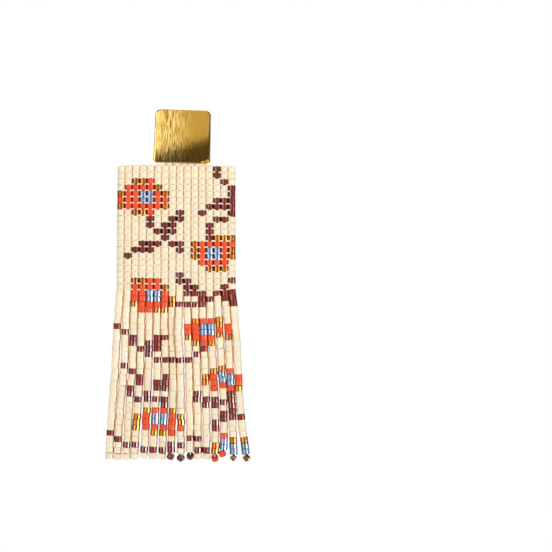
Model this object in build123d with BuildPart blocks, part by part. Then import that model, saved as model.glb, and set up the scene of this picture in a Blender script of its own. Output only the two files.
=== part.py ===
from build123d import *
from collections import namedtuple
from math import cos, hypot, pi, radians, sin, tan
import os

# A drop earring. A square brushed stud is worn on the lobe, and a panel of loomed seed beads
# hangs below it. Each column of the panel runs on as one strand of a beaded fringe.
# The origin is where the ear post meets the back of the plate. The front faces -Y, the post
# points along +Y and +Z is up. All lengths are in millimetres.

# Stud: a plate with a crowned front, a little wider at its lower edge, turned clockwise
plate_top_width = 12.5
plate_bottom_width = 12.9
plate_height = 12.2
plate_corner_thickness = 0.9
plate_crown = 0.47
plate_top_corner_radius = 1.2
plate_bottom_corner_radius = 0.8
plate_edge_round = 0.25
plate_turn = 1.8

# Ear post: soldered above the middle of the plate, so that the earring hangs upright
post_diameter = 0.8
post_length = 11.0
post_tip_round = 0.3
post_above_middle = 2.0

# Hanger bar: a wire staple soldered behind the plate's lower edge
bar_diameter = 0.7
bar_width = 7.0
bar_stand_off = 1.0
bar_bend_radius = 0.6
bar_edge_margin = 0.05
solder_depth = 0.3

# Seed beads: short glass cylinders, strung with their holes upright
bead_diameter = 1.56
column_gap = 0.11
column_count = 16

# Woven panel: the columns side by side, tied by thread, with an arched top edge
panel_height = 28.4
panel_web = 0.4
panel_arch = 0.36
panel_offset = 1.48
hang_gap = 0.3

# Fringe: the depth that a strand of plain length reaches below the panel
fringe_length = 38.3
strand_tip_round = 0.55

# Heights of the points on a strand's route, as shares of its length. The first run is upright.
route_levels = (0, 0.08, 0.24, 0.47, 0.74, 1)
# Part of the shorter run that each arc of a route takes up
arc_share = 0.45

# Routes of the strands from left to right. The first four columns are how far the strand has
# swung to the right at the lower four levels, in column pitches. The fifth is how far it stands
# back at the first of these levels, in bead diameters, and the last is its length as a share of
# the fringe's.
Strand = namedtuple("Strand", "upper middle lower tip back length")
strand_routes = [
    Strand(-0.63, -0.88, -1.40, -1.68, 0, 1.0),
    Strand(-0.49, -0.67, -1.32, -1.54, 0, 1.0),
    Strand(-0.37, -0.54, -1.06, -1.24, 0, 0.997),
    Strand(-0.33, -0.41, -0.84, -1.20, 0, 1.0),
    Strand(-0.20, -0.33, -0.52, -0.90, 0, 1.0),
    Strand(-0.07, -0.07, -0.33, -0.68, 0, 0.997),
    Strand(-0.07, 0.05, -0.20, -0.38, 0, 1.0),
    Strand(-0.07, 0.07, 0.01, -0.24, 0.28, 1.003),
    Strand(-0.22, 0.07, 0.10, 0.05, -0.30, 1.016),
    Strand(0.03, 0.19, 0.35, 0.35, 0, 1.003),
    Strand(0.10, 0.30, 0.39, 0.39, 0, 1.0),
    Strand(0.18, 0.35, 0.61, 0.53, 0, 0.997),
    Strand(0.22, 0.48, 0.82, 0.65, 0, 1.018),
    Strand(0.35, 0.61, 1.05, 0.87, 0, 0.986),
    Strand(0.56, 0.73, 1.17, 1.25, 0, 1.012),
    Strand(0.60, 0.87, 1.21, 2.08, 0, 1.012),
]

# The plate's own plane: it faces the viewer, and its y runs up the turned plate
turn = radians(plate_turn)
plate_face = Plane(origin=(0, 0, 0), x_dir=(cos(turn), 0, -sin(turn)), z_dir=(0, -1, 0))
plate_low = -post_above_middle - plate_height / 2
plate_high = plate_low + plate_height
plate_thickness = plate_corner_thickness + plate_crown

# The bar lies just inside the plate's lower edge, and the panel hangs from it
bar_low = plate_low + bar_edge_margin
bar_axis = bar_low + bar_diameter / 2
panel_top = plate_face.from_local_coords((0, bar_low, 0)).Z - hang_gap
panel_bottom = panel_top - panel_height
column_pitch = bead_diameter + column_gap
panel_width = (column_count - 1) * column_pitch + bead_diameter
panel_middle = (-panel_offset, bar_stand_off)


def ball_radius(chord, rise):
    """Radius of the ball that rises this far over a flat disc of this radius."""
    return (chord**2 + rise**2) / (2 * rise)


def column_x(column):
    """Middle of a column, numbered from 0 at the left."""
    return -panel_offset + (column - (column_count - 1) / 2) * column_pitch


def strand_points(column, strand):
    """Corner points of a strand's route, from the panel down to its tip."""
    swings = (0, 0, strand.upper, strand.middle, strand.lower, strand.tip)
    backs = (0, 0, strand.back, 0, 0, 0)
    length = fringe_length * strand.length
    return [
        Vector(
            column_x(column) + swing * column_pitch,
            bar_stand_off + back * bead_diameter,
            panel_bottom - level * length,
        )
        for level, swing, back in zip(route_levels, swings, backs)
    ]


def arc_radii(points):
    """Radius at each corner of a route, as large as the runs beside it allow."""
    runs = [end - start for start, end in zip(points, points[1:])]
    radii = []
    for before, after in zip(runs, runs[1:]):
        half_turn = radians(before.get_angle(after)) / 2
        shorter = min(before.length, after.length)
        radii.append(arc_share * shorter / tan(half_turn))
    return radii


os.makedirs("parts", exist_ok=True)

# The stud's plate, post and bar are soldered together, so they are one solid
with BuildPart() as stud:
    with BuildSketch(plate_face) as plate_outline:
        with BuildLine():
            Polyline(
                (-plate_bottom_width / 2, plate_low),
                (plate_bottom_width / 2, plate_low),
                (plate_top_width / 2, plate_high),
                (-plate_top_width / 2, plate_high),
                close=True,
            )
        make_face()
        fillet(plate_outline.vertices().sort_by(Axis.Y)[:2], plate_bottom_corner_radius)
        fillet(plate_outline.vertices().sort_by(Axis.Y)[-2:], plate_top_corner_radius)
    extrude(amount=plate_thickness)
    crown_radius = ball_radius(hypot(plate_bottom_width, plate_height) / 2, plate_crown)
    crown_depth = plate_thickness - crown_radius
    with Locations(plate_face.from_local_coords((0, -post_above_middle, crown_depth))):
        Sphere(crown_radius, mode=Mode.INTERSECT)
    fillet(stud.faces().sort_by(Axis.Y)[0].edges(), plate_edge_round)

    with BuildSketch(Plane(origin=(0, 0, 0), z_dir=(0, 1, 0))):
        Circle(post_diameter / 2)
    extrude(amount=post_length)
    fillet(stud.faces().sort_by(Axis.Y)[-1].edges(), post_tip_round)

    staple = [
        plate_face.from_local_coords(point)
        for point in (
            (-bar_width / 2, bar_axis, solder_depth),
            (-bar_width / 2, bar_axis, -bar_stand_off),
            (bar_width / 2, bar_axis, -bar_stand_off),
            (bar_width / 2, bar_axis, solder_depth),
        )
    ]
    with BuildLine() as bar_path:
        FilletPolyline(*staple, radius=bar_bend_radius)
    with BuildSketch(Plane(origin=staple[0], z_dir=(0, 1, 0))):
        Circle(bar_diameter / 2)
    sweep(path=bar_path.wires()[0])
stud.part.label = "stud"
export_step(stud.part, "parts/stud.step")

# The woven panel is one solid: round columns joined by a web of thread
with BuildPart() as woven_panel:
    with BuildSketch(Plane.XY.offset(panel_bottom)):
        with Locations(panel_middle):
            with GridLocations(column_pitch, column_pitch, column_count, 1):
                Circle(bead_diameter / 2)
            Rectangle(panel_width - bead_diameter, panel_web)
    extrude(amount=panel_height)
    with BuildSketch(Plane.XZ):
        with BuildLine():
            left = (-panel_offset - panel_width / 2, panel_top - panel_arch)
            right = (-panel_offset + panel_width / 2, panel_top - panel_arch)
            ThreePointArc(left, (-panel_offset, panel_top), right)
            Polyline(right, (right[0], panel_bottom), (left[0], panel_bottom), left)
        make_face()
    extrude(amount=bar_stand_off + bead_diameter, both=True, mode=Mode.INTERSECT)
woven_panel.part.label = "woven_panel"
export_step(woven_panel.part, "parts/woven_panel.step")

# Each strand of the fringe is a round tube that starts flush below its column
for column, strand in enumerate(strand_routes):
    name = f"fringe_strand_{column + 1:02d}"
    points = strand_points(column, strand)
    radii = arc_radii(points)
    with BuildPart() as fringe_strand:
        with BuildLine() as strand_path:
            FilletPolyline(*points, radius=radii)
        with BuildSketch(Plane(origin=points[0], z_dir=(0, 0, -1))):
            Circle(bead_diameter / 2)
        sweep(path=strand_path.wires()[0])
        swept = fringe_strand.part.volume
        fillet(fringe_strand.faces().sort_by(Axis.Z)[0].edges(), strand_tip_round)
    fringe_strand.part.label = name
    export_step(fringe_strand.part, f"parts/{name}.step")
    expected = pi * bead_diameter**2 / 4 * strand_path.wires()[0].length
    corner_radii = " ".join(f"{radius:.0f}" for radius in radii)
    print(f"{name}: corner radii {corner_radii} mm, volume {swept / expected:.4f} of section x length")
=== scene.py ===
from collections import namedtuple
from math import cos, hypot, pi, radians, sin
from random import Random
import bmesh
import bpy
from mathutils import Matrix, Vector


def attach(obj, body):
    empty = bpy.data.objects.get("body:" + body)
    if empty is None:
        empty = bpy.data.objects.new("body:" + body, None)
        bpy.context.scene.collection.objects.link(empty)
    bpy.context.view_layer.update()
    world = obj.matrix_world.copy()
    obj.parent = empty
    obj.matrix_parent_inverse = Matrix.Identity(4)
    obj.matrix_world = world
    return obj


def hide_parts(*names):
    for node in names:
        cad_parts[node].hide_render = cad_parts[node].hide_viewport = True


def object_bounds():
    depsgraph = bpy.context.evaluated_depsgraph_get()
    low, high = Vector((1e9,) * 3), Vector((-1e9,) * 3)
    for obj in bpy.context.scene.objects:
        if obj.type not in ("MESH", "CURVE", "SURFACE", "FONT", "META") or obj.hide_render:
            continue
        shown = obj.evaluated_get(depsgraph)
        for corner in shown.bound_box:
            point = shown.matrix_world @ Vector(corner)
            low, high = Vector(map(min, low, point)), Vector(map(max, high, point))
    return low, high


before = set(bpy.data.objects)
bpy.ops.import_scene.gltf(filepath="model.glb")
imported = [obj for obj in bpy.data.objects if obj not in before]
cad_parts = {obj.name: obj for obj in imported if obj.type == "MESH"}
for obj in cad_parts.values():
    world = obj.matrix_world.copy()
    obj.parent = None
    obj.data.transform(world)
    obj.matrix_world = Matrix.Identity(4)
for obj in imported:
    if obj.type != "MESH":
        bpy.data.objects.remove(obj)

cad_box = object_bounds()

# The camera stands level with the middle of the picture and looks at the earring from straight
# ahead, through a long lens. The earring hangs left of the middle, as in the photograph.
mm = 0.001
photo_width = 552
pixels_per_mm = 4.4
ear_post_pixel = (182.9, 128.0)
camera_lens = 135
camera_sensor = 36

picture_width = photo_width / pixels_per_mm * mm
camera_data = bpy.data.cameras.new("camera")
camera_data.lens = camera_lens
camera_data.sensor_width = camera_sensor
camera = bpy.data.objects.new("camera", camera_data)
camera.location = (
    (photo_width / 2 - ear_post_pixel[0]) / pixels_per_mm * mm,
    -picture_width * camera_lens / camera_sensor,
    (ear_post_pixel[1] - photo_width / 2) / pixels_per_mm * mm,
)
camera.rotation_euler = (radians(90), 0, 0)
bpy.context.scene.collection.objects.link(camera)
bpy.context.scene.camera = camera


# The stud's plate is cut square from gold-plated brass, a little wider at its lower edge, crowned
# at the front and brushed from top to bottom. It hangs turned a little clockwise, and its lower
# right corner has been bent to the front.
plate_top_width = 12.5 * mm
plate_bottom_width = 12.9 * mm
plate_height = 12.2 * mm
plate_corner_thickness = 0.9 * mm
plate_crown = 0.47 * mm
plate_top_corner_radius = 1.2 * mm
plate_bottom_corner_radius = 0.8 * mm
plate_edge_round = 0.26 * mm
plate_turn = radians(1.8)
corner_steps = 8
edge_steps = 4
crown_cuts = 48
cut_tolerance = 0.001 * mm
bent_side = 1.0 * mm
bent_foot = 2.7 * mm
bent_wave = 0.11 * mm
bent_wave_length = 1.25 * mm
bent_slope = 0.5
post_above_middle = 2.0 * mm
plate_low = -post_above_middle - plate_height / 2
plate_high = plate_low + plate_height

gold_colour = (0.80, 0.45, 0.07, 1)
pale_gold_colour = (0.93, 0.76, 0.31, 1)
dark_gold_colour = (0.22, 0.11, 0.015, 1)
gold_roughness = 0.05
hair_roughness = 0.07
stroke_width = 0.17 * mm
stroke_stretch = (1, 0.1, 0.08)
stroke_depth = 0.04 * mm
hair_width = 0.07 * mm
hair_stretch = (1, 0.1, 0.05)
light_span = (0.52, 0.68)
dark_span = (0.48, 0.38)
# From right to left, the brushing gets coarse over the first span and faint over the second.
# Across the first span the gold also turns paler, partly a painted reflection of the left light.
coarse_and_lit_span = (3 * mm, -2 * mm)
faint_span = (-4 * mm, -6 * mm)


class Shade:
    """A value in a material. Sums on it add Math nodes."""

    def __init__(self, tree, socket=None):
        self.tree = tree
        self.socket = socket

    def add(self, kind, settings=None, inputs=None, output=0):
        """Adds a node: its settings first, then the values or links of its sockets."""
        node = self.tree.nodes.new(kind)
        for name, value in (settings or {}).items():
            setattr(node, name, value)
        for name, value in (inputs or {}).items():
            if isinstance(value, Shade):
                self.tree.links.new(value.socket, node.inputs[name])
            else:
                node.inputs[name].default_value = value
        return Shade(self.tree, node.outputs[output] if node.outputs else None)

    def math(self, operation, *values):
        return self.add("ShaderNodeMath", {"operation": operation}, dict(enumerate(values)))

    def __add__(self, other):
        return self.math("ADD", self, other)

    __radd__ = __add__

    def __sub__(self, other):
        return self.math("SUBTRACT", self, other)

    def __rsub__(self, other):
        return self.math("SUBTRACT", other, self)

    def __mul__(self, other):
        return self.math("MULTIPLY", self, other)

    __rmul__ = __mul__

    def steps(self, start, end):
        """0 on the near side of the start, 1 on the far side of the end, and smooth between."""
        settings = {"interpolation_type": "SMOOTHSTEP"}
        inputs = {"Value": self, "From Min": start, "From Max": end}
        return self.add("ShaderNodeMapRange", settings, inputs)

    def part(self, axis):
        """One coordinate of a place or of a direction."""
        return self.add("ShaderNodeSeparateXYZ", {}, {"Vector": self}, output=axis)

    def mix(self, first, second, share):
        """Blends two colours by a share from 0 to 1. A Mix node's colours are its sockets 6 and 7,
        and its output 2."""
        settings = {"data_type": "RGBA"}
        return self.add("ShaderNodeMix", settings, {0: share, 6: first, 7: second}, output=2)

    def place(self, scale=(1, 1, 1)):
        """The place on the piece, stretched by these scales."""
        here = self.add("ShaderNodeTexCoord", output="Object")
        return self.add("ShaderNodeMapping", {}, {"Vector": here, "Scale": scale})

    def noise(self, size, detail=2, stretch=(1, 1, 1)):
        """Cloudy noise from 0 to 1 whose lumps have this size."""
        inputs = {"Vector": self.place(stretch), "Scale": 1 / size, "Detail": detail}
        return self.add("ShaderNodeTexNoise", {}, inputs)

    def mark(self, name):
        """A number that each point of the piece carries under this name."""
        return self.add("ShaderNodeAttribute", {"attribute_name": name}, output="Fac")

    def bump(self, height, depth):
        """Surface relief of this depth from a height of 0 to 1."""
        inputs = {"Height": height, "Distance": depth, "Strength": 1}
        return self.add("ShaderNodeBump", {}, inputs)

    def finish(self, **inputs):
        """Sets the material's surface. Underscores stand for the spaces in socket names."""
        named = {name.replace("_", " "): value for name, value in inputs.items()}
        surface = self.add("ShaderNodeBsdfPrincipled", {}, named)
        self.add("ShaderNodeOutputMaterial", {}, {"Surface": surface})


def new_material(name):
    """An empty material, and the shade that its nodes start from."""
    material = bpy.data.materials.new(name)
    material.use_nodes = True
    material.node_tree.nodes.clear()
    return material, Shade(material.node_tree)


def make_piece(name, mesh, slot, *materials):
    """A piece of the earring, in the one body it has."""
    piece = bpy.data.objects.new(name, mesh)
    bpy.context.scene.collection.objects.link(piece)
    for material in materials:
        mesh.materials.append(material)
    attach(piece, "root")
    return piece


def mesh_from(bm, name, smooth=True):
    """A mesh with the faces of a bmesh, which is freed."""
    for face in bm.faces:
        face.smooth = smooth
    mesh = bpy.data.meshes.new(name)
    bm.to_mesh(mesh)
    bm.free()
    return mesh


def round_bevel(bm, edges, radius, segments):
    """Rounds these edges of a bmesh."""
    bmesh.ops.bevel(
        bm, geom=edges, offset=radius, segments=segments, profile=0.5, affect="EDGES", material=-1
    )


def keep_flats(piece):
    """Lets the large faces of a piece set its shading, so that the flats look flat."""
    modifier = piece.modifiers.new("flats", "WEIGHTED_NORMAL")
    modifier.weight = 100
    modifier.keep_sharp = True


gold, shade = new_material("brushed_gold_plate")
strokes = shade.noise(stroke_width, stretch=stroke_stretch)
hairs = shade.noise(hair_width, stretch=hair_stretch)
sideways = shade.place().part("X")
coarse_and_lit = sideways.steps(*coarse_and_lit_span)
heavy = coarse_and_lit * (1 - 0.6 * sideways.steps(*faint_span))
light_strokes = strokes.steps(*light_span)
dark_strokes = strokes.steps(*dark_span)
# The left is paler in pale brushing strokes and, as painted reflection of the left light, overall
plate_colour = shade.mix(gold_colour, pale_gold_colour, coarse_and_lit * (0.25 + 0.75 * light_strokes))
plate_colour = shade.mix(plate_colour, dark_gold_colour, dark_strokes * (0.15 + 0.75 * heavy))
brushing = strokes * (0.2 + 0.5 * heavy) + 0.15 * hairs
shade.finish(
    Base_Color=plate_colour,
    Metallic=1.0,
    Roughness=gold_roughness + hair_roughness * hairs,
    Normal=shade.bump(brushing, stroke_depth),
)

plate = bmesh.new()
plate_size = (plate_bottom_width, plate_corner_thickness, plate_height)
plate_middle = (0, -plate_corner_thickness / 2, (plate_low + plate_high) / 2)
bmesh.ops.create_cube(plate, size=1)
bmesh.ops.scale(plate, vec=plate_size, verts=plate.verts)
bmesh.ops.translate(plate, vec=plate_middle, verts=plate.verts)
for corner in plate.verts:
    if corner.co.z > plate_middle[2]:
        corner.co.x *= plate_top_width / plate_bottom_width
for upper, radius in ((False, plate_bottom_corner_radius), (True, plate_top_corner_radius)):
    corners = [
        edge
        for edge in plate.edges
        if abs(edge.verts[0].co.y - edge.verts[1].co.y) > plate_corner_thickness / 2
        and (edge.verts[0].co.z > plate_middle[2]) == upper
    ]
    round_bevel(plate, corners, radius, corner_steps)
front = min(plate.faces, key=lambda face: face.calc_center_median().y)
back = max(plate.faces, key=lambda face: face.calc_center_median().y)
round_bevel(plate, list(front.edges), plate_edge_round, edge_steps)
round_bevel(plate, list(back.edges), plate_edge_round / 2, edge_steps // 2)
# The flat face is cut into a fine grid, so that it can take the crown and the bend
for cut in range(1, crown_cuts):
    share = cut / crown_cuts - 0.5
    for point, normal in (
        ((share * plate_bottom_width, 0, 0), (1, 0, 0)),
        ((0, 0, plate_middle[2] + share * plate_height), (0, 0, 1)),
    ):
        parts = plate.verts[:] + plate.edges[:] + plate.faces[:]
        bmesh.ops.bisect_plane(
            plate, geom=parts, plane_co=point, plane_no=normal, dist=cut_tolerance
        )
corner_distance = hypot(plate_bottom_width, plate_height) / 2
for vertex in plate.verts:
    distance = hypot(vertex.co.x, vertex.co.z - plate_middle[2])
    depth = -vertex.co.y / plate_corner_thickness
    vertex.co.y -= depth * plate_crown * (1 - (distance / corner_distance) ** 2)
    from_side = plate_bottom_width / 2 - vertex.co.x
    fold = bent_side * (1 - from_side / bent_foot) + plate_low
    fold += bent_wave * sin(2 * pi * from_side / bent_wave_length)
    vertex.co.y -= bent_slope * max(fold - vertex.co.z, 0)
bmesh.ops.rotate(plate, matrix=Matrix.Rotation(plate_turn, 3, "Y"), verts=plate.verts)
stud_plate = make_piece("stud_plate", mesh_from(plate, "stud_plate"), "brushed_gold", gold)
keep_flats(stud_plate)
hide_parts("stud")


# The ear post is a straight wire with a rounded tip, which goes through the lobe. It stands on
# the plate's back in a small cone of solder, above the middle so that the earring hangs upright.
post_diameter = 0.8 * mm
post_length = 11.0 * mm
post_tip_round = 0.3 * mm
post_sides = 32
tip_steps = 5
solder_width = 0.35 * mm

post = bmesh.new()
facing_back = Matrix.Rotation(radians(-90), 4, "X")
bmesh.ops.create_circle(
    post,
    cap_ends=True,
    radius=post_diameter / 2 + solder_width,
    segments=post_sides,
    matrix=facing_back,
)
foot = post.faces[:]
bmesh.ops.inset_region(post, faces=foot, thickness=solder_width, use_even_offset=True)
bmesh.ops.translate(post, vec=(0, solder_width, 0), verts=foot[0].verts)
tip = bmesh.ops.extrude_discrete_faces(post, faces=foot)["faces"]
bmesh.ops.translate(post, vec=(0, post_length - solder_width, 0), verts=tip[0].verts)
round_bevel(post, list(tip[0].edges), post_tip_round, tip_steps)
bmesh.ops.recalc_face_normals(post, faces=post.faces)
ear_post = make_piece("ear_post", mesh_from(post, "ear_post"), "brushed_gold", gold)
keep_flats(ear_post)
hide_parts("stud")


# The hanger bar, which carries the beadwork, is a wire bent into a wide staple. Its two ends are
# soldered to the back of the plate just inside the lower edge.
bar_diameter = 0.7 * mm
bar_width = 7.0 * mm
bar_stand_off = 1.0 * mm
bar_bend = 0.6 * mm
bar_edge_margin = 0.05 * mm
bar_roundness = 6
solder_depth = 0.3 * mm
bar_axis = plate_low + bar_edge_margin + bar_diameter / 2


def on_plate(x, y, z):
    """A place given in the turned plate's own directions."""
    return Matrix.Rotation(plate_turn, 3, "Y") @ Vector((x, y, z))


def curve_mesh(name, routes, fineness, closed=False, radius=0, roundness=0):
    """Smooth curves along these routes, or tubes if they have a radius, as one mesh."""
    curve = bpy.data.curves.new(name, "CURVE")
    curve.dimensions = "3D"
    curve.bevel_depth = radius
    curve.bevel_resolution = roundness
    curve.use_fill_caps = not closed
    for route in routes:
        spline = curve.splines.new("NURBS")
        spline.points.add(len(route) - 1)
        for point, place in zip(spline.points, route):
            point.co = (*place, 1)
        spline.order_u = 3
        spline.use_endpoint_u = not closed
        spline.use_cyclic_u = closed
        spline.resolution_u = fineness
    holder = bpy.data.objects.new(name, curve)
    mesh = bpy.data.meshes.new_from_object(holder)
    mesh.name = name
    bpy.data.objects.remove(holder)
    bpy.data.curves.remove(curve)
    return mesh


def tube_mesh(name, routes, radius, closed=False, roundness=2):
    """Wires or threads of one radius along smooth routes, as one mesh."""
    mesh = curve_mesh(name, routes, 3, closed, radius, roundness)
    for polygon in mesh.polygons:
        polygon.use_smooth = True
    return mesh


bar_side = [
    (0, -solder_depth),
    (0, bar_stand_off - bar_bend),
    (0, bar_stand_off),
    (bar_bend, bar_stand_off),
]
bar_left = [on_plate(x - bar_width / 2, y, bar_axis) for x, y in bar_side]
bar_right = [on_plate(bar_width / 2 - x, y, bar_axis) for x, y in reversed(bar_side)]
bar_route = bar_left + bar_right
bar_mesh = tube_mesh("hanger_bar", [bar_route], bar_diameter / 2, roundness=bar_roundness)
hanger_bar = make_piece("hanger_bar", bar_mesh, "brushed_gold", gold)
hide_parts("stud")


# The beads are short cylinders cut from drawn glass tube, with a wide hole and a slightly melted
# rim. Ivory and red ones are opaque glass. Maroon, blue and gilt ones have a metallic glaze that
# is brighter on some beads than on others.
bead_diameter = 1.70 * mm
bead_hole = 0.8 * mm
bead_rim = 0.03 * mm
bead_sides = 12
rim_start = 0.87
side_shade_fade = 0.16
streak_width = 0.22 * mm
streak_stretch = (1, 1, 0.25)
grain_width = 0.07 * mm
tone_span = (0.2, 1.4)
polish_draws = 7
polish_span = (0.3, 0.6)
shaded_side_roughness = 0.5
dull_roughness = 0.12
least_lustre = 0.15
coat_index = 1.9
coat_roughness = 0.12
column_count = 16
ivory, maroon, red, blue, gilt = range(5)


def bead_template(length, diameter, rim=bead_rim, rim_steps=1, end_height=1.0):
    """One bead that stands upright at the origin. A mark on it rises from its middle to its ends,
    where beads meet, and the higher it gets the more painted shade the ends take."""
    bead = bmesh.new()
    top = length / 2
    upper_rim = []
    for step in range(rim_steps + 1):
        angle = radians(90) * step / rim_steps
        upper_rim.append((diameter / 2 - rim * (1 - cos(angle)), top - rim * (1 - sin(angle))))
    lower_rim = [(radius, -height) for radius, height in reversed(upper_rim)]
    profile = [(bead_hole / 2, top), (bead_hole / 2, -top)] + lower_rim + upper_rim
    ring = [bead.verts.new((radius, 0, height)) for radius, height in profile]
    edges = [bead.edges.new((a, b)) for a, b in zip(ring, ring[1:] + ring[:1])]
    bmesh.ops.spin(
        bead,
        geom=ring + edges,
        cent=(0, 0, 0),
        axis=(0, 0, 1),
        angle=radians(360),
        steps=bead_sides,
        use_merge=True,
    )
    bmesh.ops.recalc_face_normals(bead, faces=bead.faces)
    height = bead.verts.layers.float.new("bead_height")
    bead.verts.layers.float.new("bead_tone")
    bead.verts.layers.float.new("bead_side")
    for vertex in bead.verts:
        vertex[height] = end_height * vertex.co.z / top
    return mesh_from(bead, "bead")


def add_bead(beads, template, place, column, glaze, tone, shade_reach=1):
    """Adds one bead to a bmesh. The place is a 4x4 matrix. Its sides that face another column,
    where little light comes, are marked for painted shade, up to about the shade reach."""
    first_vertex = len(beads.verts)
    first_face = len(beads.faces)
    beads.from_mesh(template)
    beads.verts.ensure_lookup_table()
    beads.faces.ensure_lookup_table()
    tones = beads.verts.layers.float["bead_tone"]
    sides = beads.verts.layers.float["bead_side"]
    for vertex in beads.verts[first_vertex:]:
        vertex.co = place @ vertex.co
        vertex[tones] = tone
        side = shade_reach * (vertex.co.x - place.translation.x) / (bead_diameter / 2)
        vertex[sides] = max(side if column < column_count else 0, -side if column > 1 else 0)
    for face in beads.faces[first_face:]:
        face.material_index = glaze


def bead_material(
    name, colour, other_colour, painted_shade_colour, side_shade_start, rim_shade, metallic, gloss, lustre, relief
):
    """A bead glaze. Its colour differs by bead and in faint streaks along the tube. Painted shade
    deepens it at the rims, where beads meet, and on the sides that face the next column."""
    material, shade = new_material(name)
    tone = shade.mark("bead_tone")
    # Painted shade at the bead ends, in the seams where one bead meets the next
    rim = shade.math("ABSOLUTE", shade.mark("bead_height")).steps(rim_start, 1.0)
    # Painted shade on the sides that face another column, where neighbours block the light
    shaded_side = shade.mark("bead_side").steps(side_shade_start, side_shade_start + side_shade_fade)
    streaks = shade.noise(streak_width, stretch=streak_stretch)
    grain = shade.noise(grain_width)
    # The polish comes from the last digits of the tone, so the two seem drawn apart
    polish = shade.math("FRACT", polish_draws * tone).steps(*polish_span)
    glaze = shade.mix(colour, other_colour, (tone + 0.6 * streaks).steps(*tone_span))
    # The painted shade colour darkens the bead ends and the sides that face another column
    glaze = shade.mix(glaze, painted_shade_colour, shade.math("MAXIMUM", rim * rim_shade, shaded_side))
    worn = shaded_side_roughness * shaded_side + dull_roughness * (1 - polish)
    shade.finish(
        Base_Color=glaze,
        Metallic=metallic * (1 - shaded_side),
        Roughness=gloss + 0.1 * grain + worn,
        Specular_IOR_Level=0.3,
        Coat_Weight=lustre * (1 - shaded_side) * (least_lustre + polish),
        Coat_IOR=coat_index,
        Coat_Roughness=coat_roughness,
        Normal=shade.bump(streaks * 0.7 + grain * 0.3, relief),
    )
    return material


# In the order in which the glazes are numbered
glazes = [
    bead_material(
        "ivory_glass",
        colour=(0.89, 0.766, 0.54, 1),
        other_colour=(0.98, 0.844, 0.61, 1),
        painted_shade_colour=(0.68, 0.36, 0.13, 1),
        side_shade_start=0.83,
        rim_shade=0.7,
        metallic=0,
        gloss=0.45,
        lustre=0.1,
        relief=0.004 * mm,
    ),
    bead_material(
        "maroon_glaze",
        colour=(0.155, 0.008, 0.003, 1),
        other_colour=(0.22, 0.017, 0.005, 1),
        painted_shade_colour=(0.030, 0.001, 0.002, 1),
        side_shade_start=0.67,
        rim_shade=0.95,
        metallic=0.2,
        gloss=0.2,
        lustre=0.45,
        relief=0.006 * mm,
    ),
    bead_material(
        "red_glass",
        colour=(0.84, 0.068, 0.006, 1),
        other_colour=(0.90, 0.092, 0.016, 1),
        painted_shade_colour=(0.30, 0.003, 0.004, 1),
        side_shade_start=0.69,
        rim_shade=0.65,
        metallic=0,
        gloss=0.5,
        lustre=0.1,
        relief=0.004 * mm,
    ),
    bead_material(
        "blue_glaze",
        colour=(0.175, 0.25, 0.385, 1),
        other_colour=(0.225, 0.315, 0.46, 1),
        painted_shade_colour=(0.012, 0.025, 0.09, 1),
        side_shade_start=0.67,
        rim_shade=0.95,
        metallic=0.6,
        gloss=0.2,
        lustre=0.4,
        relief=0.009 * mm,
    ),
    bead_material(
        "gilt_glaze",
        colour=(0.31, 0.090, 0.006, 1),
        other_colour=(0.54, 0.19, 0.020, 1),
        painted_shade_colour=(0.07, 0.010, 0.001, 1),
        side_shade_start=0.69,
        rim_shade=0.95,
        metallic=0.85,
        gloss=0.18,
        lustre=0.3,
        relief=0.009 * mm,
    ),
]


# The ornament is a common kind of bead-loom pattern, flowers between red-brown twigs, charted
# below. Columns count from 1 at the left and rows from 1 at the top: 20 rows are woven, 29 more
# hang in the fringe, and row 50 is the bead at each tip.
woven_rows = 20
strand_rows = 29
tip_row = woven_rows + strand_rows + 1
letters = {"r": red, "b": blue, "g": gilt}
open_flower = (
    ".ggr..",
    "rrrrg.",
    "rrbbrg",
    "rrbbrg",
    "rrrrrg",
    ".ggr..",
)
fringe_flower = (
    ".grrg.",
    "grbbrg",
    "grbbrg",
    "grrrrg",
    "..ggr.",
)
side_flower = (
    "..g..",
    ".gbr.",
    "grbbr",
    "grrbr",
    ".r.rg",
)
# Each flower's chart, its first column and row, and whether it is mirrored
flowers = [
    (open_flower, 2, 3, False),
    (open_flower, 11, 12, True),
    (open_flower, 3, 19, False),
    (fringe_flower, 10, 26, True),
    (side_flower, 12, 34, False),
    (fringe_flower, 4, 42, False),
    (side_flower, 12, 46, False),
]
# Single beads, and short runs of beads, where a flower or a twig differs from its chart
petals = [
    (gilt, (1, 5)),
    (red, (1, 6)),
    (gilt, (1, 7)),
    (gilt, (14, 12), (16, 12)),
    (gilt, (11, 13), (11, 15)),
    (red, (12, 13)),
    (gilt, (13, 17)),
    (ivory, (12, 20)),
    (maroon, (13, 12)),
    (ivory, (11, 16)),
    (red, (7, 6)),
    (gilt, (16, 14), (16, 15)),
    (ivory, (16, 16)),
    (ivory, (8, 21)),
    (gilt, (3, 23)),
    (gilt, (14, 27)),
    (gilt, (14, 29)),
    (gilt, (11, 30)),
    (red, (12, 30)),
    (red, (9, 45)),
    (ivory, (14, 34)),
    (gilt, (14, 35)),
    (blue, (14, 36), (14, 37)),
    (red, (14, 38)),
    (ivory, (14, 46)),
    (red, (14, 47)),
    (blue, (14, 48), (14, 49)),
    (ivory, (13, 47)),
    (ivory, (12, 48)),
    (maroon, (12, 49)),
    (gilt, (3, 19), (4, 19)),
    (red, (5, 19), (6, 19)),
    (red, (4, 24), (5, 24)),
    (gilt, (6, 24), (7, 24)),
    (red, (10, 27), (10, 28)),
    (red, (15, 27), (15, 28)),
    (gilt, (15, 47), (16, 47)),
    (blue, (16, 48), (16, 49)),
    (gilt, (13, 48), (13, 49)),
    (red, (13, tip_row), (14, tip_row)),
    (gilt, (15, tip_row), (16, tip_row)),
]
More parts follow.
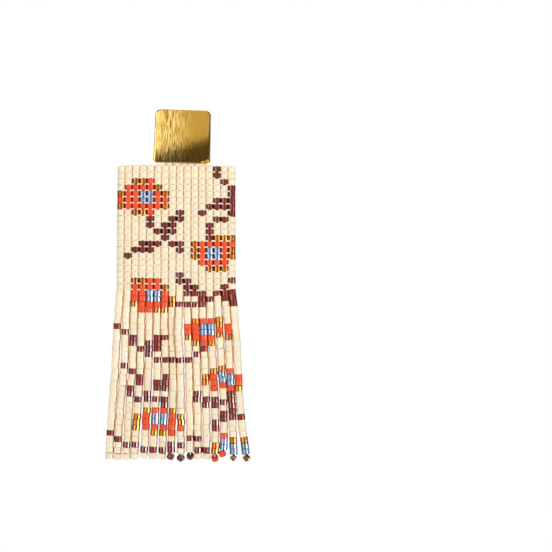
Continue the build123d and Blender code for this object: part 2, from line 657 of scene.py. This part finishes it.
twigs = [
    [(14, 1), (14, 2), (16, 4), (16, 8)],
    [(12, 8), (14, 6), (15, 6)],
    [(14, 7), (15, 7)],
    [(15, 9), (14, 9), (13, 10), (13, 12)],
    [(5, 9), (5, 10), (7, 12), (7, 10)],
    [(9, 8), (9, 9), (7, 11)],
    [(8, 9), (8, 11)],
    [(8, 13), (9, 13), (9, 14)],
    [(6, 13), (4, 13), (2, 15)],
    [(5, 14), (4, 14)],
    [(9, 18), (9, 19), (10, 19), (10, 20), (12, 20), (12, 23), (9, 23)],
    [(10, 21), (11, 21)],
    [(16, 19), (15, 20), (15, 22)],
    [(14, 21), (13, 22)],
    [(16, 21), (16, 23)],
    [(1, 27), (3, 29), (3, 30), (5, 32), (5, 30)],
    [(7, 29), (6, 29), (6, 31)],
    [(6, 33), (10, 33), (12, 31)],
    [(2, 34), (4, 36), (4, 37)],
    [(3, 38), (3, 39), (4, 40), (7, 40), (7, 41)],
    [(5, 39), (7, 37), (7, 38)],
    [(6, 37), (7, 36)],
    [(11, 39), (11, 40), (12, 41), (14, 41)],
    [(15, 39), (15, 43), (16, 43)],
    [(12, 40), (13, 40)],
    [(13, 45), (13, 44), (14, 43), (14, 44)],
    [(1, 46), (3, 48), (4, 48), (5, 49), (8, 49)],
    [(8, 48), (9, 48), (10, 47), (11, 47)],
    [(11, 49), (12, 49)],
    [(8, tip_row), (10, tip_row)],
]

chart = {}


def lay_line(glaze, start, end):
    """Charts the beads on the straight line between two places."""
    count = max(abs(end[0] - start[0]), abs(end[1] - start[1]))
    for number in range(count + 1):
        share = number / max(count, 1)
        place = [round(a + (b - a) * share) for a, b in zip(start, end)]
        chart[tuple(place)] = glaze


for twig in twigs:
    for start, end in zip(twig, twig[1:]):
        lay_line(maroon, start, end)
for flower, first_column, first_row, mirrored in flowers:
    for down, line in enumerate(flower):
        for along, letter in enumerate(reversed(line) if mirrored else line):
            if letter in letters:
                chart[first_column + along, first_row + down] = letters[letter]
for glaze, *run in petals:
    lay_line(glaze, run[0], run[-1])


# The woven panel hangs below the plate. Twenty beads stand in each of its 16 columns, on a pair
# of threads that runs down the column. It isn't quite straight: its top edge is arched, and its
# rows sag, widen a little towards the fringe and rise at the lower right.
panel_height = 28.4 * mm
panel_arch = 0.36 * mm
panel_offset = 1.48 * mm
hang_gap = 0.3 * mm
column_pitch = 1.67 * mm
panel_sag = 0.33 * mm
sag_middle = 3.5 * mm
sag_half_width = 17.0 * mm
sag_wave = 0.85 * pi
right_column = 14
spread_columns = 10
spread_left = 0.24 * mm
spread_right = 0.06 * mm
lift_start = 0.6
right_lift = 0.28 * mm
woven_length = 1.375 * mm
woven_diameter = 1.73 * mm
woven_bead = bead_template(woven_length, woven_diameter, end_height=1.04)
# How far painted shade reaches in from the sides of woven ivory beads
woven_ivory_shade_reach = 0.97
# Tones are drawn between 0 and this, or less in the columns at the left, darkened as painted shade
panel_tones = 0.7
left_columns = 2
shaded_left_tones = 0.3
bead_shift = 0.01 * mm
bead_wobble = radians(1.0)
bead_seed = 20
panel_top = on_plate(0, 0, plate_low + bar_edge_margin).z - hang_gap
panel_bottom = panel_top - panel_height
panel_half = column_count * column_pitch / 2


def column_x(column):
    """The middle of a column, numbered from 1 at the left."""
    return -panel_offset + (column - (column_count + 1) / 2) * column_pitch


def panel_place(column, row):
    """The place of the lower end of a woven bead. The rows are arched, sag where the lashings
    hold them less, and are spread a little by the strands."""
    x = column_x(column)
    down = row / woven_rows
    top = panel_top - panel_arch * ((x + panel_offset) / panel_half) ** 2
    looseness = 1 - ((x - sag_middle) / sag_half_width) ** 2
    sag = panel_sag * looseness * (0.5 + 0.5 * sin(sag_wave * down))
    leftness = min(max((right_column - column) / spread_columns, 0), 1)
    spread = (spread_right - (spread_left + spread_right) * leftness) * (1 - (1 - down) ** 2)
    rightness = max(column - right_column, 0) / (column_count - right_column)
    lift = right_lift * rightness * max(down - lift_start, 0) / (1 - lift_start)
    return x + spread, top + (panel_bottom - top) * down - sag + lift


chance = Random(bead_seed)


def wobble(amount):
    """A small random tilt, and any turn about the hole."""
    turn = Matrix.Rotation(chance.gauss(0, amount), 4, "X")
    turn = turn @ Matrix.Rotation(chance.gauss(0, amount), 4, "Y")
    return turn @ Matrix.Rotation(chance.uniform(0, pi), 4, "Z")


woven = bmesh.new()
for column in range(1, column_count + 1):
    for row in range(1, woven_rows + 1):
        x, z = panel_place(column, row - 0.5)
        x += chance.gauss(0, bead_shift)
        y = bar_stand_off + chance.gauss(0, 2 * bead_shift)
        glaze = chart.get((column, row), ivory)
        tone = chance.random() * (shaded_left_tones if column <= left_columns else panel_tones)
        place = Matrix.Translation((x, y, z)) @ wobble(bead_wobble)
        shade_reach = woven_ivory_shade_reach if glaze == ivory else 1
        add_bead(woven, woven_bead, place, column, glaze, tone, shade_reach)
woven_beads = make_piece("woven_beads", mesh_from(woven, "woven_beads"), "seed_beads", *glazes)
keep_flats(woven_beads)
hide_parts("woven_panel")


# White nylon threads run across the panel between its rows. Each one bows to the front over the
# gap between two columns, dips between the bead ends, and comes back the same way behind.
thread_diameter = 0.30 * mm
thread_bow = 0.93 * mm
thread_dip = 0.36 * mm
thread_rise = 0.32 * mm
top_thread_rise = 0.10 * mm
thread_sink = 0.32 * mm
thread_colour = (1.0, 0.90, 0.70, 1)
thread_shadow_colour = (0.93, 0.78, 0.54, 1)
fibre_width = 0.05 * mm
fibre_stretch = (0.3, 1, 1)
fibre_span = (0.3, 0.6)
fibre_depth = 0.02 * mm

thread_white, shade = new_material("nylon_thread")
fibres = shade.noise(fibre_width, stretch=fibre_stretch)
shade.finish(
    Base_Color=shade.mix(thread_shadow_colour, thread_colour, fibres.steps(*fibre_span)),
    Roughness=0.45 + 0.2 * fibres,
    Normal=shade.bump(fibres, fibre_depth),
)


def warp_route(row):
    """A closed route round the panel at the lower end of a row, or at the top for row 0."""
    route = []
    rise, sink = (thread_rise, thread_sink) if row > 0 else (top_thread_rise, 0)
    for side in (-1, 1):
        half_steps = range(1, 2 * column_count)
        for half_step in half_steps if side < 0 else reversed(half_steps):
            over_gap = half_step % 2 == 0
            x, z = panel_place(half_step / 2 + 0.5, row)
            y = bar_stand_off + side * (thread_bow if over_gap else thread_dip)
            route.append((x, y, z + (rise if over_gap else -sink)))
    return route


warp_routes = [warp_route(row) for row in range(woven_rows + 1)]
warp_mesh = tube_mesh("warp_threads", warp_routes, thread_diameter / 2, closed=True)
make_piece("warp_threads", warp_mesh, "beading_thread", thread_white)


# Each column runs on as one strand of the fringe: 29 more beads on the same threads, and one
# that leans loosely at the tip. Ivory beads sit tight in the outer two strands, and coloured tip
# beads are smaller and rounder than the rest.
fringe_length = 38.3 * mm
strand_bead_pitch = 1.28 * mm
hanging_length = 1.27 * mm
hanging_diameter = 1.80 * mm
tight_length = 1.29 * mm
tight_rim = 0.004 * mm
end_diameter = 1.60 * mm
end_rim = 0.2 * mm
hole_seat = 0.1 * mm
hanging_bead = bead_template(hanging_length, hanging_diameter, end_height=0.965)
glazed_bead = bead_template(hanging_length, hanging_diameter, end_height=1.03)
tight_bead = bead_template(tight_length, hanging_diameter, tight_rim, end_height=0.88)
end_bead = bead_template(hanging_length, end_diameter, end_rim, rim_steps=3)
tight_columns = (1, 16)
# How far painted shade reaches in from the sides of the fringe beads and of the tip beads
hanging_ivory_shade_reach = 1.12
hanging_glazed_shade_reach = 0.86
tip_shade_reach = 0.8
# In one strand the first beads sit closer. In the others the spacing differs most at the tip.
close_strand = 14
close_beads = 9
# The share of its upper swing that a strand has made at the second level
early_swing = 0.3
# The beads under the panel take up its sag over this distance
sag_reach = 12 * mm
strand_shift = 0.05 * mm
strand_wobble = radians(1.5)
tone_spread = 0.25
line_fineness = 24
route_levels = (0, 0.08, 0.24, 0.47, 0.74, 1)
# How far each strand has swung to the right at the lower four levels, and how far it stands back
# at the first of them, in column pitches, and its length as a share of the fringe's.
Route = namedtuple("Route", "upper middle lower tip back length")
strand_routes = [
    Route(-0.63, -0.82, -1.40, -1.68, 0, 1.0),
    Route(-0.49, -0.58, -1.34, -1.56, 0, 1.0),
    Route(-0.37, -0.46, -1.12, -1.33, 0, 0.997),
    Route(-0.33, -0.41, -0.88, -1.27, 0, 1.0),
    Route(-0.20, -0.33, -0.58, -1.00, 0, 1.0),
    Route(-0.18, -0.05, -0.40, -0.78, 0, 0.997),
    Route(-0.18, 0.07, -0.27, -0.48, 0, 1.0),
    Route(-0.18, 0.09, -0.04, -0.34, 0.26, 1.003),
    Route(-0.30, 0.09, 0.08, 0.06, -0.28, 1.016),
    Route(0.03, 0.19, 0.35, 0.35, 0, 1.003),
    Route(0.10, 0.30, 0.39, 0.39, 0, 1.0),
    Route(0.18, 0.35, 0.61, 0.57, 0, 0.997),
    Route(0.22, 0.48, 0.89, 0.70, 0, 1.018),
    Route(0.35, 0.61, 1.05, 0.87, 0, 0.986),
    Route(0.56, 0.73, 1.17, 1.25, 0, 1.012),
    Route(0.60, 0.87, 1.21, 2.08, 0, 1.012),
]
# How far the bead at each tip leans to the front and to the right, in degrees, how far it hangs
# to the right of its strand and the lowest beads have slid down the thread, in millimetres, and
# its size beside the other tip beads.
TipBead = namedtuple("TipBead", "forward rightward aside slid size")
tip_beads = [
    TipBead(3, -4, 0, 0, 1),
    TipBead(5, 5, 0, 0.20, 1),
    TipBead(4, -5, 0, 0.12, 1),
    TipBead(3, 3, 0, 0.10, 1),
    TipBead(6, 6, 0, -0.14, 1),
    TipBead(5, -4, 0, -0.12, 1),
    TipBead(6, 8, 0, 0, 1),
    TipBead(12, 24, 0, 0.04, 1),
    TipBead(25, 42, 0, 0.29, 1),
    TipBead(52, 12, 0, -0.16, 1),
    TipBead(5, -5, 0, 0, 1),
    TipBead(7, 4, 0, 0, 1),
    TipBead(50, -8, 0, 0.32, 1),
    TipBead(14, -22, -0.24, -0.61, 1),
    TipBead(10, -40, 0, 0.48, 0.84),
    TipBead(10, -40, 0, 0.52, 0.95),
]
# How pale the beads of each strand are. Strand 8, which stands back, is darkened as painted shade.
strand_tones = (
    0.8, 0.8, 0.6, 0.75, 0.65, 0.85, 0.6, 0.3, 1.0, 1.1, 1.1, 1.0, 0.9, 1.0, 0.8, 0.9,
)


def strand_route(column):
    """The points of a strand's route, from the panel down to its tip."""
    route = strand_routes[column - 1]
    start = (panel_place(column, woven_rows)[0] - column_x(column)) / column_pitch
    early = start + early_swing * route.upper
    swings = (start, early, route.upper, route.middle, route.lower, route.tip)
    backs = (0, 0, route.back, 0, 0, 0)
    return [
        Vector((
            column_x(column) + swing * column_pitch,
            bar_stand_off + back * column_pitch,
            panel_bottom - level * fringe_length * route.length,
        ))
        for level, swing, back in zip(route_levels, swings, backs)
    ]


def smooth_line(route):
    """Places close together on the smooth curve of a route."""
    mesh = curve_mesh("route", [route], line_fineness)
    places = [vertex.co.copy() for vertex in mesh.vertices]
    bpy.data.meshes.remove(mesh)
    return places


def place_along(line, distance):
    """The place and direction at this distance along a line."""
    for start, end in zip(line, line[1:]):
        run = (end - start).length
        if distance <= run or end is line[-1]:
            return start + (end - start) * (distance / run), (end - start).normalized()
        distance -= run


def standing(direction):
    """The turn that brings an upright bead in line with this direction."""
    return Vector((0, 0, -1)).rotation_difference(direction).to_matrix().to_4x4()


strand_ends = []
for column in range(1, column_count + 1):
    line = smooth_line(strand_route(column))
    sag = panel_bottom - panel_place(column, woven_rows)[1]
    tip_bead = tip_beads[column - 1]
    slide = tip_bead.slid * mm
    strand = bmesh.new()
    for number in range(strand_rows):
        if column == close_strand:
            share = min((number + 0.5) / close_beads, 1)
        else:
            share = ((number + 0.5) / strand_rows) ** 3
        distance = (number + 0.5) * strand_bead_pitch
        spread = slide * share + sag * max(1 - distance / sag_reach, 0)
        middle, direction = place_along(line, distance + spread)
        middle += Vector((chance.gauss(0, strand_shift), chance.gauss(0, strand_shift), 0))
        place = Matrix.Translation(middle) @ standing(direction) @ wobble(strand_wobble)
        glaze = chart.get((column, woven_rows + number + 1), ivory)
        tone = strand_tones[column - 1] + chance.gauss(0, tone_spread)
        if glaze == ivory:
            template = tight_bead if column in tight_columns else hanging_bead
            shade_reach = hanging_ivory_shade_reach
        else:
            template = glazed_bead
            shade_reach = hanging_glazed_shade_reach
        add_bead(strand, template, place, column, glaze, tone, shade_reach)

    last, direction = place_along(line, strand_rows * strand_bead_pitch + slide)
    forward = Matrix.Rotation(radians(tip_bead.forward), 4, "X")
    turn = Matrix.Rotation(radians(tip_bead.rightward), 4, "Y") @ forward
    up = turn.to_3x3() @ Vector((0, 0, 1))
    glaze = chart.get((column, tip_row), ivory)
    template, rim = (hanging_bead, bead_rim) if glaze == ivory else (end_bead, end_rim)
    # The leaning bead hangs so low that it just sits in the hole of the bead above it
    lean = abs(up.dot(direction))
    tilt = (1 - lean * lean) ** 0.5
    reach = (lean * hanging_length + tilt * end_diameter) / 2 - rim * (lean + tilt - 1)
    drop = tip_bead.size * reach - hole_seat * (1 - lean)
    tip = last + direction * drop + Vector((tip_bead.aside * mm, 0, 0))
    place = Matrix.Translation(tip) @ turn @ Matrix.Scale(tip_bead.size, 4)
    add_bead(strand, template, place, column, glaze, chance.random(), tip_shade_reach)
    strand_ends.append((last, direction, tip, up, tip_bead.size))

    name = f"fringe_strand_{column:02d}_beads"
    piece = make_piece(name, mesh_from(strand, name), "seed_beads", *glazes)
    keep_flats(piece)
    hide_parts(f"fringe_strand_{column:02d}")


# The thread of each strand runs down through the bead at its tip, comes back up behind that
# bead, and is finished off inside the beads above.
thread_slack = 0.18 * mm

tip_routes = []
for last, direction, tip, up, size in strand_ends:
    half = up * size * hanging_length / 2
    slack = up * thread_slack
    backward = (Vector((0, 1, 0)) - up * up.y).normalized()
    beside = backward * (size * bead_diameter / 2 + thread_slack)
    behind = Vector((0, thread_diameter / 2, 0))
    tip_routes.append([
        last - direction * hanging_length - behind,
        last - behind,
        tip + half,
        tip - half,
        tip - half - slack,
        tip - half - slack + beside,
        tip + half + beside,
        last + behind,
        last - direction * hanging_length + behind,
    ])
tip_mesh = tube_mesh("tip_threads", tip_routes, thread_diameter / 2)
make_piece("tip_threads", tip_mesh, "beading_thread", thread_white)


# The lashings are five loops of the same thread, behind the lower edge of the plate. They tie
# the top thread of the panel to the hanger bar.
lash_columns = range(7, 12)
lash_clearance = 0.12 * mm
lash_drop = 0.55 * mm
lash_radius = bar_diameter / 2 + lash_clearance
bar_middle = on_plate(0, bar_stand_off, bar_axis)

lash_routes = []
for column in lash_columns:
    x, top = panel_place(column, 0)
    height = bar_middle.z - x * sin(plate_turn)
    low = top - lash_drop
    lash_routes.append([
        (x - thread_diameter, bar_stand_off - lash_radius, height),
        (x, bar_stand_off - lash_radius, height + lash_radius),
        (x, bar_stand_off + lash_radius, height + lash_radius),
        (x + thread_diameter, bar_stand_off + lash_radius, height),
        (x, bar_stand_off + lash_radius / 2, low),
        (x, bar_stand_off - lash_radius / 2, low),
    ])
lash_mesh = tube_mesh("lashings", lash_routes, thread_diameter / 2, closed=True)
make_piece("lashings", lash_mesh, "beading_thread", thread_white)


# The studio has a pale round floor below the hanging earring and is white behind it. Soft lights
# stand at the right, left, above and behind, and the glint light shows only in what shines. The
# metal mirrors a dark front with a pale upper part.
floor_drop = 0.05
floor_radius = 0.19
floor_sides = 96
floor_colour = (0.86, 0.85, 0.83, 1)
pale_floor_colour = (0.90, 0.89, 0.87, 1)
floor_grain_size = 4 * mm
light_distance = 0.8
# Degrees to the right of the earring's front and up, the power in watts, and the size in metres
Light = namedtuple("Light", "right up power width height")
lights = {
    "right": Light(58, -17, 5.1, 0.34, 0.44),
    "left": Light(-43, 2, 4.1, 0.42, 0.90),
    "high": Light(0, 50, 0.9, 0.60, 0.40),
    "back": Light(180, 40, 5.0, 0.90, 0.60),
    "glint": Light(58, -18.5, 6.5, 0.46, 0.44),
}
room_glow = 0.12
low_front_glow = 0.10
high_front_glow = 0.62
left_front_glow = 0.75
front_slope = 0.26
front_height = 0.028
front_blur = 0.014
left_span = (0.0, -0.18)
front_span = (-0.85, -0.94)

floor_material, shade = new_material("studio_floor")
floor_grain = shade.noise(floor_grain_size, detail=3)
shade.finish(
    Base_Color=shade.mix(floor_colour, pale_floor_colour, floor_grain),
    Roughness=0.6 + 0.2 * floor_grain,
)
floor_disc = bmesh.new()
floor_level = cad_box[0][2] - floor_drop
bmesh.ops.create_circle(
    floor_disc,
    cap_ends=True,
    radius=floor_radius,
    segments=floor_sides,
    matrix=Matrix.Translation((0, 0, floor_level)),
)
floor_mesh = mesh_from(floor_disc, "floor", smooth=False)
floor_mesh.materials.append(floor_material)
floor = bpy.data.objects.new("floor", floor_mesh)
bpy.context.scene.collection.objects.link(floor)

picture_middle = Vector((0, 0, camera.location.z))
for name, lamp in lights.items():
    light_data = bpy.data.lights.new(f"{name}_light", "AREA")
    light_data.shape = "RECTANGLE"
    light_data.size = lamp.width
    light_data.size_y = lamp.height
    light_data.energy = lamp.power
    light = bpy.data.objects.new(f"{name}_light", light_data)
    light.visible_diffuse = name != "glint"
    right = radians(lamp.right)
    up = radians(lamp.up)
    towards = Vector((sin(right) * cos(up), -cos(right) * cos(up), sin(up)))
    light.location = picture_middle + towards * light_distance
    light.rotation_euler = towards.to_track_quat("Z", "Y").to_euler()
    bpy.context.scene.collection.objects.link(light)

world = bpy.data.worlds.new("studio")
world.use_nodes = True
world.node_tree.nodes.clear()
bpy.context.scene.world = world
shade = Shade(world.node_tree)
direction = shade.add("ShaderNodeTexCoord", output="Generated")
rightward = direction.part("X")
over_edge = direction.part("Z") - front_slope * rightward - front_height
above = over_edge.steps(-front_blur, front_blur)
left = rightward.steps(*left_span)
front_glow = low_front_glow + above * (high_front_glow + left_front_glow * left)
ahead = direction.part("Y").steps(*front_span)
glow = room_glow + ahead * (front_glow - room_glow)
mirrored = shade.add("ShaderNodeBackground", {}, {"Color": (1, 1, 1, 1), "Strength": glow})
seen = shade.add("ShaderNodeBackground", {}, {"Color": (1, 1, 1, 1), "Strength": 1.0})
camera_ray = shade.add("ShaderNodeLightPath", output="Is Camera Ray")
sky = shade.add("ShaderNodeMixShader", {}, {0: camera_ray, 1: mirrored, 2: seen})
shade.add("ShaderNodeOutputWorld", {}, {"Surface": sky})
bpy.context.scene.view_settings.view_transform = "Standard"
